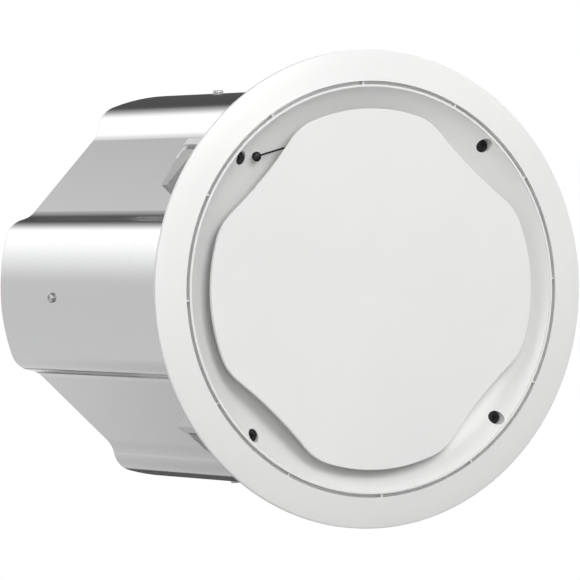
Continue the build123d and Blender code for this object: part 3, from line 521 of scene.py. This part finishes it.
def close_mesh():
    """Merges doubles, turns the faces outwards and leaves edit mode."""
    bpy.ops.mesh.select_all(action="SELECT")
    bpy.ops.mesh.remove_doubles(threshold=WELD)
    bpy.ops.mesh.normals_make_consistent(inside=False)
    bpy.ops.object.mode_set(mode="OBJECT")


def turned(name, section, steps):
    """A solid turned about the Y axis from points of radius and depth."""
    points = [(radius, depth, 0.0) for radius, depth in section]
    piece = start_line(name, points[0])
    draw_line(points)
    bpy.ops.mesh.select_all(action="SELECT")
    bpy.ops.mesh.spin(
        steps=steps, angle=2.0 * math.pi, center=(0.0, 0.0, 0.0), axis=(0.0, 1.0, 0.0)
    )
    close_mesh()
    return piece


def apply_modifier(piece, kind, **values):
    """Adds one modifier with its values and applies it."""
    pick(piece)
    modifier = piece.modifiers.new(kind.title(), kind)
    for title, value in values.items():
        setattr(modifier, title, value)
    bpy.ops.object.modifier_apply(modifier=modifier.name)


def cross_cutter(reach, wide, deep, top):
    """A tapered cross that cuts a driver recess into a head whose top is at a depth."""
    arms = []
    for size in ((2.0 * reach, wide), (wide, 2.0 * reach)):
        bpy.ops.object.select_all(action="DESELECT")
        bpy.ops.mesh.primitive_cube_add(size=1.0, location=(0.0, top, 0.0))
        arm = bpy.context.object
        arm.scale = (size[0], 2.0 * deep, size[1])
        bpy.ops.object.transform_apply(location=True, rotation=True, scale=True)
        select_points(arm, lambda at: at.y > top)
        bpy.ops.transform.resize(
            value=(CROSS_TAPER, 1.0, CROSS_TAPER), center_override=(0.0, top + deep, 0.0)
        )
        bpy.ops.object.mode_set(mode="OBJECT")
        arms.append(arm)
    return arms


def cut_away(piece, cutters):
    """Cuts other shapes out of a piece and deletes them."""
    for cutter in cutters:
        apply_modifier(piece, "BOOLEAN", operation="DIFFERENCE", object=cutter, solver="EXACT")
        bpy.data.objects.remove(cutter, do_unlink=True)


def smooth(piece, angle):
    """Shades a piece smooth up to an angle in degrees."""
    pick(piece)
    bpy.ops.object.shade_smooth_by_angle(angle=math.radians(angle))


def copied(piece, name):
    """A copy with a mesh of its own."""
    twin = piece.copy()
    twin.data = piece.data.copy()
    twin.name = name
    twin.data.name = name
    bpy.context.collection.objects.link(twin)
    return twin


def merged_copy(node, name):
    """A CAD node's shape as a piece of its own, with its triangles joined and paired up."""
    piece = bpy.data.objects.new(name, bpy.data.objects[node].data.copy())
    piece.data.name = name
    bpy.context.collection.objects.link(piece)
    pick(piece)
    bpy.ops.mesh.customdata_custom_splitnormals_clear()
    bpy.ops.object.mode_set(mode="EDIT")
    bpy.ops.mesh.select_all(action="SELECT")
    bpy.ops.mesh.remove_doubles(threshold=WELD)
    bpy.ops.mesh.tris_convert_to_quads(
        face_threshold=math.radians(1.0), shape_threshold=math.radians(60.0)
    )
    bpy.ops.object.mode_set(mode="OBJECT")
    return piece


def rounded_copy(node, name, edge):
    """A CAD node's shape as a piece of its own with its sharp edges rounded."""
    piece = merged_copy(node, name)
    bpy.ops.object.mode_set(mode="EDIT")
    bpy.ops.mesh.select_all(action="SELECT")
    bpy.ops.mesh.dissolve_limited(angle_limit=math.radians(0.5))
    bpy.ops.object.mode_set(mode="OBJECT")
    apply_modifier(
        piece, "BEVEL", width=edge, segments=2, limit_method="ANGLE", angle_limit=math.radians(40.0)
    )
    smooth(piece, 40.0)
    apply_modifier(piece, "WEIGHTED_NORMAL", keep_sharp=True)
    return piece


def settle(piece, offset):
    """Moves a piece's mesh into its place, with the object at the origin."""
    pick(piece)
    piece.location = offset
    bpy.ops.object.transform_apply(location=True, rotation=True, scale=True)


# Operators for the pieces.


class SPEAKER_OT_moulding(bpy.types.Operator):
    """Models the front moulding with slim nibs and soft groove edges, and makes it and the plate white"""

    bl_idname = "speaker.moulding"
    bl_label = "White moulding"

    def in_groove(self, at):
        """Whether a point lies between the groove's walls or on them."""
        return GROOVE_RADII[0] < math.hypot(at.x, at.z) < GROOVE_RADII[1]

    def in_nib(self, at):
        """Whether a point belongs to the nib on the right of the axis."""
        beside = at.x > 0.0 and abs(at.z) < NIB_REACH
        return beside and self.in_groove(at) and NIB_DEPTHS[0] < at.y < NIB_DEPTHS[1]

    def slim_nibs(self, moulding, sizes):
        """Makes the nib on the right slim and low, and brings each nib there in turn."""
        slim = sizes.nib_wide / NIB_SOLID
        centre = (0.0, 0.0, 0.0)
        for _ in range(NIBS):
            select_points(moulding, self.in_nib)
            bpy.ops.transform.resize(value=(1.0, 1.0, slim), center_override=centre)
            bpy.ops.object.mode_set(mode="OBJECT")
            select_points(moulding, lambda at: self.in_nib(at) and at.y < NIB_TOP)
            bpy.ops.transform.translate(value=(0.0, sizes.nib_sink, 0.0))
            bpy.ops.mesh.select_all(action="SELECT")
            bpy.ops.transform.rotate(
                value=2.0 * math.pi / NIBS, orient_axis="Y", center_override=centre
            )
            bpy.ops.object.mode_set(mode="OBJECT")

    def soften_groove(self, moulding, sizes):
        """Lowers the groove's floor and rounds its edges."""
        select_points(
            moulding, lambda at: self.in_groove(at) and GROOVE_FLOOR[0] < at.y < GROOVE_FLOOR[1]
        )
        bpy.ops.transform.translate(value=(0.0, sizes.groove_more, 0.0))
        bpy.ops.object.mode_set(mode="OBJECT")
        select_points(moulding, lambda at: self.in_groove(at) and at.y < GROOVE_RIM)
        bpy.ops.mesh.bevel(offset=sizes.groove_edge, segments=3, affect="EDGES", clamp_overlap=True)
        close_mesh()

    def execute(self, context):
        sizes = context.scene.speaker_sizes
        pair = pair_of(context.scene.speaker_colours, "moulding")
        white = grained(
            "White satin moulding", pair, rough=(0.28, 0.34), grain=1400.0, cloud=9.0, strength=0.05
        )
        dress(white, "front_bezel", "deflector_plate")
        moulding = merged_copy("front_bezel", "front_moulding")
        self.slim_nibs(moulding, sizes)
        self.soften_groove(moulding, sizes)
        smooth(moulding, 30.0)
        apply_modifier(moulding, "WEIGHTED_NORMAL", keep_sharp=True)
        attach(moulding, "housing")
        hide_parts("front_bezel")
        return {"FINISHED"}


class SPEAKER_OT_can(bpy.types.Operator):
    """Gives the can its brushed aluminium, and its back and rings plainer ones"""

    bl_idname = "speaker.can"
    bl_label = "Aluminium can"

    def execute(self, context):
        pair = pair_of(context.scene.speaker_colours, "can")
        wall = brushed(
            "Brushed aluminium", pair, rough=(0.12, 0.17), lines=1500.0, run=10.0, strength=0.06
        )
        plain = brushed(
            "Mill aluminium", pair, rough=(0.24, 0.36), lines=500.0, run=60.0, strength=0.08
        )
        sheet = brushed(
            "Satin aluminium", pair, rough=(0.34, 0.46), lines=420.0, run=60.0, strength=0.08
        )
        dress(wall, "can_wall")
        dress(sheet, "back_plate")
        dress(plain, "can_front_ring", "can_back_ring", "voice_coil_former")
        return {"FINISHED"}


class SPEAKER_OT_clamp_screws(bpy.types.Operator):
    """Models the clamp screws with their threads and cross recesses, and blackens the dark steel"""

    bl_idname = "speaker.clamp_screws"
    bl_label = "Clamp screws"

    def head(self, sizes, low, high):
        """The head and the plain shank, with a cross recess."""
        head_r = (high.x - low.x) / 2 + sizes.head_more
        top = low.y - sizes.head_rise
        seat = low.y + sizes.head_high
        neck = sizes.thread_start + NECK
        section = [(0.0, top)]
        section += [(head_r - inset, top + depth) for inset, depth in HEAD_ROUND]
        section += [
            (head_r, seat),
            (sizes.shank_r, seat),
            (sizes.shank_r, neck),
            (sizes.shank_r - sizes.thread_deep, neck + sizes.thread_deep),
            (0.0, neck + sizes.thread_deep),
        ]
        head = turned("clamp_screw_head", section, sizes.round_steps)
        cut_away(head, cross_cutter(CROSS_REACH * head_r, sizes.cross_wide, sizes.cross_deep, top))
        return head

    def thread(self, sizes, turns):
        """The threaded length of the shank, closed at both ends."""
        root_r = sizes.shank_r - sizes.thread_deep
        pitch = sizes.thread_lead / THREAD_STARTS
        line = []
        for start in range(THREAD_STARTS):
            depth = sizes.thread_start + start * pitch
            for along, out in RIDGE:
                line.append((root_r + out * sizes.thread_deep, depth + along * pitch, 0.0))
        line.append((root_r, sizes.thread_start + sizes.thread_lead, 0.0))
        thread = start_line("clamp_screw_thread", line[0])
        draw_line(line)
        bpy.ops.object.mode_set(mode="OBJECT")
        apply_modifier(
            thread,
            "SCREW",
            axis="Y",
            angle=2.0 * math.pi,
            screw_offset=sizes.thread_lead,
            iterations=turns,
            steps=THREAD_STEPS,
            render_steps=THREAD_STEPS,
            use_merge_vertices=True,
            merge_threshold=WELD,
        )
        bpy.ops.object.mode_set(mode="EDIT")
        bpy.ops.mesh.select_all(action="SELECT")
        bpy.ops.mesh.fill_holes(sides=0)
        close_mesh()
        return thread

    def point(self, sizes, turns, tip):
        """The blunt point after the thread."""
        root_r = sizes.shank_r - sizes.thread_deep
        start = sizes.thread_start + turns * sizes.thread_lead - THREAD_OVERLAP
        section = [
            (0.0, start), (root_r, start), (root_r, tip - POINT_LONG), (root_r - POINT_IN, tip), (0.0, tip)
        ]
        return turned("clamp_screw_point", section, sizes.round_steps)

    def execute(self, context):
        sizes = context.scene.speaker_sizes
        pair = pair_of(context.scene.speaker_colours, "oxide")
        low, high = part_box("dog_screw_1")
        turns = int((high.y - sizes.thread_start - POINT_ROOM) / sizes.thread_lead)
        head = self.head(sizes, low, high)
        thread = self.thread(sizes, turns)
        point = self.point(sizes, turns, high.y)
        pick(thread, point, head)
        bpy.ops.object.join()
        model = bpy.context.object
        smooth(model, 35.0)
        black = grained(
            "Black oxide steel",
            pair,
            rough=(0.38, 0.52),
            grain=1800.0,
            cloud=120.0,
            strength=0.08,
            shine=0.2,
        )
        model.data.materials.clear()
        model.data.materials.append(black)
        for k in CLAMPS:
            node = f"dog_screw_{k}"
            low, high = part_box(node)
            screw = copied(model, f"threaded_screw_{k}")
            settle(screw, ((low.x + high.x) / 2, 0.0, (low.z + high.z) / 2))
            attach(screw, f"clamp_screw_{k}")
            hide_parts(node)
        bpy.data.objects.remove(model, do_unlink=True)
        dress(black, *numbered("dog_screw"), "driver_basket", "driver_screws", "block_screws")
        return {"FINISHED"}


class SPEAKER_OT_clamps(bpy.types.Operator):
    """Models the clamp arms with round edges, and gives the arms their nylon and the inserts their brass"""

    bl_idname = "speaker.clamps"
    bl_label = "Clamp arms"

    def execute(self, context):
        sizes = context.scene.speaker_sizes
        colours = context.scene.speaker_colours
        nylon = grained(
            "Grey nylon",
            pair_of(colours, "nylon"),
            rough=(0.60, 0.72),
            grain=900.0,
            cloud=60.0,
            strength=0.12,
        )
        brass = grained(
            "Brass",
            pair_of(colours, "brass"),
            rough=(0.22, 0.40),
            grain=700.0,
            cloud=90.0,
            strength=0.06,
            metallic=1.0,
        )
        for k in CLAMPS:
            node = f"dog_arm_{k}"
            dress(nylon, node)
            arm = rounded_copy(node, f"rounded_arm_{k}", sizes.arm_edge)
            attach(arm, f"clamp_arm_{k}")
            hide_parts(node)
        dress(brass, *numbered("dog_insert"), "terminal_tabs")
        return {"FINISHED"}


class SPEAKER_OT_bright_pieces(bpy.types.Operator):
    """Gives the bright screws, the safety loop and its rivets their zinc plating"""

    bl_idname = "speaker.bright_pieces"
    bl_label = "Bright screws and loop"

    def execute(self, context):
        zinc = grained(
            "Zinc plating",
            pair_of(context.scene.speaker_colours, "zinc"),
            rough=(0.10, 0.20),
            grain=1500.0,
            cloud=160.0,
            strength=0.04,
            metallic=1.0,
        )
        dress(zinc, "plate_screws", "ring_screws", "back_screws", "board_screws")
        dress(zinc, "safety_loop", "loop_rivets")
        return {"FINISHED"}


class SPEAKER_OT_plastic_pieces(bpy.types.Operator):
    """Gives the tether, the port, the terminals and the leads their plastics"""

    bl_idname = "speaker.plastic_pieces"
    bl_label = "Tether, port and terminals"

    def execute(self, context):
        colours = context.scene.speaker_colours
        pair = pair_of(colours, "plastic")
        black = grained(
            "Black plastic", pair, rough=(0.16, 0.26), grain=1600.0, cloud=80.0, strength=0.05, shine=0.22
        )
        cover = grained(
            "Wire cover", pair, rough=(0.42, 0.55), grain=2600.0, cloud=200.0, strength=0.10, shine=0.22
        )
        red = grained(
            "Red plastic",
            pair_of(colours, "red"),
            rough=(0.30, 0.42),
            grain=1600.0,
            cloud=80.0,
            strength=0.05,
        )
        dress(black, "tether_button", "tether_anchor", "port_tube", "terminal_block", "terminal_lever_1")
        dress(cover, "tether_wire", "leads")
        dress(red, "terminal_lever_2")
        return {"FINISHED"}


class SPEAKER_OT_driver(bpy.types.Operator):
    """Gives the driver, its board and its seals their finishes"""

    bl_idname = "speaker.driver"
    bl_label = "Driver"

    def cloth(self, pair):
        """Woven cloth of the damper."""
        finish = Finish("Damper cloth")
        threads = finish.group("Crossed threads", Across=260.0, Along=260.0)
        finish.colour(threads["Threads"], pair)
        finish.roughness(threads["Gaps"], 0.70, 0.90)
        finish.bump(threads["Threads"], 0.4, CLOTH_RISE)
        return finish.material

    def winding(self, pair):
        """Copper wire wound round the former."""
        finish = Finish("Copper winding", 1.0)
        turns = finish.group("Wound turns", Turns=320.0)
        finish.colour(turns["Turns"], pair)
        finish.roughness(turns["Turns"], 0.45, 0.25)
        finish.bump(turns["Turns"], 0.5, WINDING_RISE)
        return finish.material

    def execute(self, context):
        colours = context.scene.speaker_colours
        pair = pair_of(colours, "rubber")
        rubber = grained("Rubber", pair, rough=(0.55, 0.75), grain=1200.0, cloud=60.0, strength=0.15)
        pair = pair_of(colours, "board")
        board = grained("Fibreboard", pair, rough=(0.62, 0.82), grain=700.0, cloud=260.0, strength=0.20)
        pair = pair_of(colours, "ferrite")
        ferrite = grained("Ferrite", pair, rough=(0.50, 0.70), grain=900.0, cloud=300.0, strength=0.25)
        pair = pair_of(colours, "steel")
        steel = brushed("Turned steel", pair, rough=(0.26, 0.40), lines=400.0, run=80.0, strength=0.08)
        pair = pair_of(colours, "pulp")
        pulp = grained("Pressed pulp", pair, rough=(0.70, 0.90), grain=800.0, cloud=320.0, strength=0.30)
        dress(rubber, "front_gasket", "driver_gasket", "surround")
        dress(board, "driver_board", "driver_terminals")
        dress(ferrite, "driver_magnet")
        dress(steel, "driver_top_plate", "driver_yoke")
        dress(pulp, "cone", "dust_cap")
        dress(self.cloth(pair_of(colours, "damper")), "spider")
        dress(self.winding(pair_of(colours, "copper")), "voice_coil")
        return {"FINISHED"}


# The stage.


def grey(value):
    """A grey that doesn't let light through."""
    return (value, value, value, 1.0)


class SPEAKER_OT_stage(bpy.types.Operator):
    """Builds the floor, the white surroundings, the lamps and the camera"""

    bl_idname = "speaker.stage"
    bl_label = "Stage"

    def soft_lamp(self, name, at, wide, power):
        """A square area lamp that faces the flange, lights and reflects, and isn't seen itself."""
        bpy.ops.object.light_add(type="AREA")
        lamp = bpy.context.object
        lamp.name = name
        lamp.data.shape = "SQUARE"
        lamp.data.size = wide
        lamp.data.energy = power
        lamp.visible_camera = False
        lamp.location = at
        lamp.rotation_euler = (-Vector(at)).to_track_quat("-Z", "Y").to_euler()

    def reflector(self, name, at, turn, size, material):
        """A sheet that only shows in glossy surfaces, as a painted reflection."""
        bpy.ops.mesh.primitive_plane_add(size=1.0, location=at, rotation=turn)
        sheet = bpy.context.object
        sheet.name = name
        sheet.scale = (size[0], size[1], 1.0)
        bpy.ops.object.transform_apply(location=False, rotation=False, scale=True)
        sheet.data.materials.append(material)
        sheet.visible_camera = False
        sheet.visible_diffuse = False
        sheet.visible_transmission = False
        sheet.visible_shadow = False

    def painted_reflection_glow(self, strength):
        """Glow of a painted reflection: brightness that grows round the axis from the right, over the top,
        to the left.
        """
        material, tree, output = empty_material("Graded reflection screen")
        glow = tree.nodes.new("ShaderNodeEmission")
        glow.inputs["Strength"].default_value = strength
        parts = tree.nodes.new("ShaderNodeSeparateXYZ")
        where = tree.nodes.new("ShaderNodeTexCoord").outputs["Object"]
        tree.links.new(where, parts.inputs["Vector"])
        angle = math_node(tree, "ARCTAN2", parts.outputs["Y"], parts.outputs["X"])
        ramp = tree.nodes.new("ShaderNodeValToRGB")
        tree.links.new(ramp_node(tree, angle, -math.pi, math.pi), ramp.inputs["Fac"])
        stops = ramp.color_ramp.elements
        stops[0].color = grey(PAINTED_REFLECTION_STOPS[0][1])
        stops[1].color = grey(PAINTED_REFLECTION_STOPS[-1][1])
        for degrees, value in PAINTED_REFLECTION_STOPS[1:-1]:
            stops.new((degrees + 180.0) / 360.0).color = grey(value)
        tree.links.new(ramp.outputs["Color"], glow.inputs["Color"])
        tree.links.new(glow.outputs["Emission"], output.inputs["Surface"])
        return material

    def seen_rays(self, tree):
        """One for camera, glossy and transmission rays."""
        path = tree.nodes.new("ShaderNodeLightPath")
        some = math_node(tree, "MAXIMUM", path.outputs["Is Camera Ray"], path.outputs["Is Glossy Ray"])
        return math_node(tree, "MAXIMUM", some, path.outputs["Is Transmission Ray"])

    def floor_finish(self, colours):
        """Pale floor: white to the camera and to reflections, with the shadow kept near the speaker."""
        material, tree, output = empty_material("Pale floor")
        paint = tree.nodes.new("ShaderNodeBsdfDiffuse")
        paint.inputs["Color"].default_value = (*colours.floor, 1.0)
        glow = tree.nodes.new("ShaderNodeEmission")
        glow.inputs["Color"].default_value = (*colours.backdrop, 1.0)
        where = tree.nodes.new("ShaderNodeTexCoord").outputs["Object"]
        away = tree.nodes.new("ShaderNodeVectorMath")
        away.operation = "LENGTH"
        tree.links.new(where, away.inputs[0])
        fade = ramp_node(tree, away.outputs["Value"], *FADE_DISTANCES, *FADE_SHARES)
        blend = tree.nodes.new("ShaderNodeMixShader")
        tree.links.new(math_node(tree, "MULTIPLY", fade, self.seen_rays(tree)), blend.inputs["Fac"])
        tree.links.new(paint.outputs["BSDF"], blend.inputs[1])
        tree.links.new(glow.outputs["Emission"], blend.inputs[2])
        tree.links.new(blend.outputs["Shader"], output.inputs["Surface"])
        return material

    def surroundings(self, context, colours, low, high):
        """A world that is white to the eye and lights the speaker softly, mostly from above."""
        world = bpy.data.worlds.new("White studio")
        context.scene.world = world
        world.use_nodes = True
        tree = world.node_tree
        tree.nodes.clear()
        output = tree.nodes.new("ShaderNodeOutputWorld")
        soft = tree.nodes.new("ShaderNodeBackground")
        soft.inputs["Color"].default_value = (*colours.backdrop, 1.0)
        parts = tree.nodes.new("ShaderNodeSeparateXYZ")
        where = tree.nodes.new("ShaderNodeTexCoord").outputs["Generated"]
        tree.links.new(where, parts.inputs["Vector"])
        tree.links.new(ramp_node(tree, parts.outputs["Z"], *HORIZON, low, high), soft.inputs["Strength"])
        white = tree.nodes.new("ShaderNodeBackground")
        white.inputs["Color"].default_value = (*colours.backdrop, 1.0)
        white.inputs["Strength"].default_value = 1.0
        blend = tree.nodes.new("ShaderNodeMixShader")
        tree.links.new(self.seen_rays(tree), blend.inputs["Fac"])
        tree.links.new(soft.outputs["Background"], blend.inputs[1])
        tree.links.new(white.outputs["Background"], blend.inputs[2])
        tree.links.new(blend.outputs["Shader"], output.inputs["Surface"])

    def floor(self, stage, colours):
        """A round floor below the speaker."""
        bpy.ops.object.select_all(action="DESELECT")
        bpy.ops.mesh.primitive_circle_add(
            vertices=96,
            radius=stage.floor_wide,
            fill_type="NGON",
            location=(0.0, MIDDLE, -stage.floor_down),
        )
        floor = bpy.context.object
        floor.name = "floor"
        floor.data.materials.append(self.floor_finish(colours))

    def reflectors(self, stage, colours):
        """The painted reflections: the glowing graded screen behind the speaker, and the dark strip on the
        floor with its upright end, whose grey stands in for shade under the can.
        """
        upright = (math.radians(90.0), 0.0, 0.0)
        lying = (0.0, 0.0, 0.0)
        screen = self.painted_reflection_glow(stage.screen_level)
        # Painted dark reflection: the card's grey shows only in glossy surfaces, standing in for shade
        # under the can.
        pair = (colours.card, colours.card)
        dark = grained("Painted dark reflection card", pair, rough=(0.9, 1.0), grain=200.0, cloud=20.0, strength=0.1)
        self.reflector(
            "painted_reflection_screen",
            (0.0, stage.screen_away, 0.0),
            upright,
            (stage.screen_wide, stage.screen_wide),
            screen,
        )
        self.reflector("dark_reflection_strip", stage.card_at, lying, (stage.card_wide, stage.card_long), dark)
        self.reflector("dark_reflection_end", stage.end_at, upright, (stage.end_wide, stage.end_high), dark)

    def camera(self, context, stage):
        """The camera that sees the speaker as the photograph does."""
        bpy.ops.object.camera_add(location=stage.camera_at, rotation=stage.camera_turn)
        camera = bpy.context.object
        camera.name = "view_camera"
        camera.data.sensor_width = 36.0
        camera.data.lens = stage.lens
        camera.data.clip_end = 100.0
        context.scene.camera = camera

    def execute(self, context):
        colours = context.scene.speaker_colours
        stage = context.scene.speaker_stage
        self.floor(stage, colours)
        self.surroundings(context, colours, stage.ambient_low, stage.ambient)
        self.soft_lamp("key_lamp", stage.key_at, stage.lamp_wide, stage.key_power)
        self.soft_lamp("left_lamp", stage.left_at, stage.lamp_wide, stage.left_power)
        self.soft_lamp("right_lamp", stage.right_at, stage.lamp_wide, stage.right_power)
        self.soft_lamp("low_lamp", stage.low_at, stage.low_wide, stage.low_power)
        self.reflectors(stage, colours)
        self.camera(context, stage)
        context.scene.view_settings.view_transform = "Standard"
        return {"FINISHED"}


OPERATORS = (
    SPEAKER_OT_moulding,
    SPEAKER_OT_can,
    SPEAKER_OT_clamp_screws,
    SPEAKER_OT_clamps,
    SPEAKER_OT_bright_pieces,
    SPEAKER_OT_plastic_pieces,
    SPEAKER_OT_driver,
    SPEAKER_OT_stage,
)


class SPEAKER_PT_sidebar(bpy.types.Panel):
    """Lists the steps that dress the speaker"""

    bl_idname = "SPEAKER_PT_sidebar"
    bl_label = "Speaker"
    bl_space_type = "VIEW_3D"
    bl_region_type = "UI"
    bl_category = "Speaker"

    def draw(self, context):
        for operator in OPERATORS:
            self.layout.operator(operator.bl_idname)
        for group in ("speaker_sizes", "speaker_colours", "speaker_stage"):
            column = self.layout.column()
            settings = getattr(context.scene, group)
            for title in settings.bl_rna.properties.keys():
                if title not in ("rna_type", "name"):
                    column.prop(settings, title)


GROUP_CLASSES = (SpeakerSizes, SpeakerColours, SpeakerStage)
CLASSES = GROUP_CLASSES + OPERATORS + (SPEAKER_PT_sidebar,)


def register():
    """Registers the classes and hangs the settings on the scene."""
    for item in CLASSES:
        bpy.utils.register_class(item)
    bpy.types.Scene.speaker_sizes = PointerProperty(type=SpeakerSizes)
    bpy.types.Scene.speaker_colours = PointerProperty(type=SpeakerColours)
    bpy.types.Scene.speaker_stage = PointerProperty(type=SpeakerStage)


def unregister():
    """Takes the settings and the classes away again."""
    del bpy.types.Scene.speaker_stage
    del bpy.types.Scene.speaker_colours
    del bpy.types.Scene.speaker_sizes
    for item in reversed(CLASSES):
        bpy.utils.unregister_class(item)


def main():
    """Dresses the speaker step by step."""
    register()
    bpy.ops.speaker.moulding()
    bpy.ops.speaker.can()
    bpy.ops.speaker.clamp_screws()
    bpy.ops.speaker.clamps()
    bpy.ops.speaker.bright_pieces()
    bpy.ops.speaker.plastic_pieces()
    bpy.ops.speaker.driver()
    bpy.ops.speaker.stage()


if __name__ == "__main__":
    main()
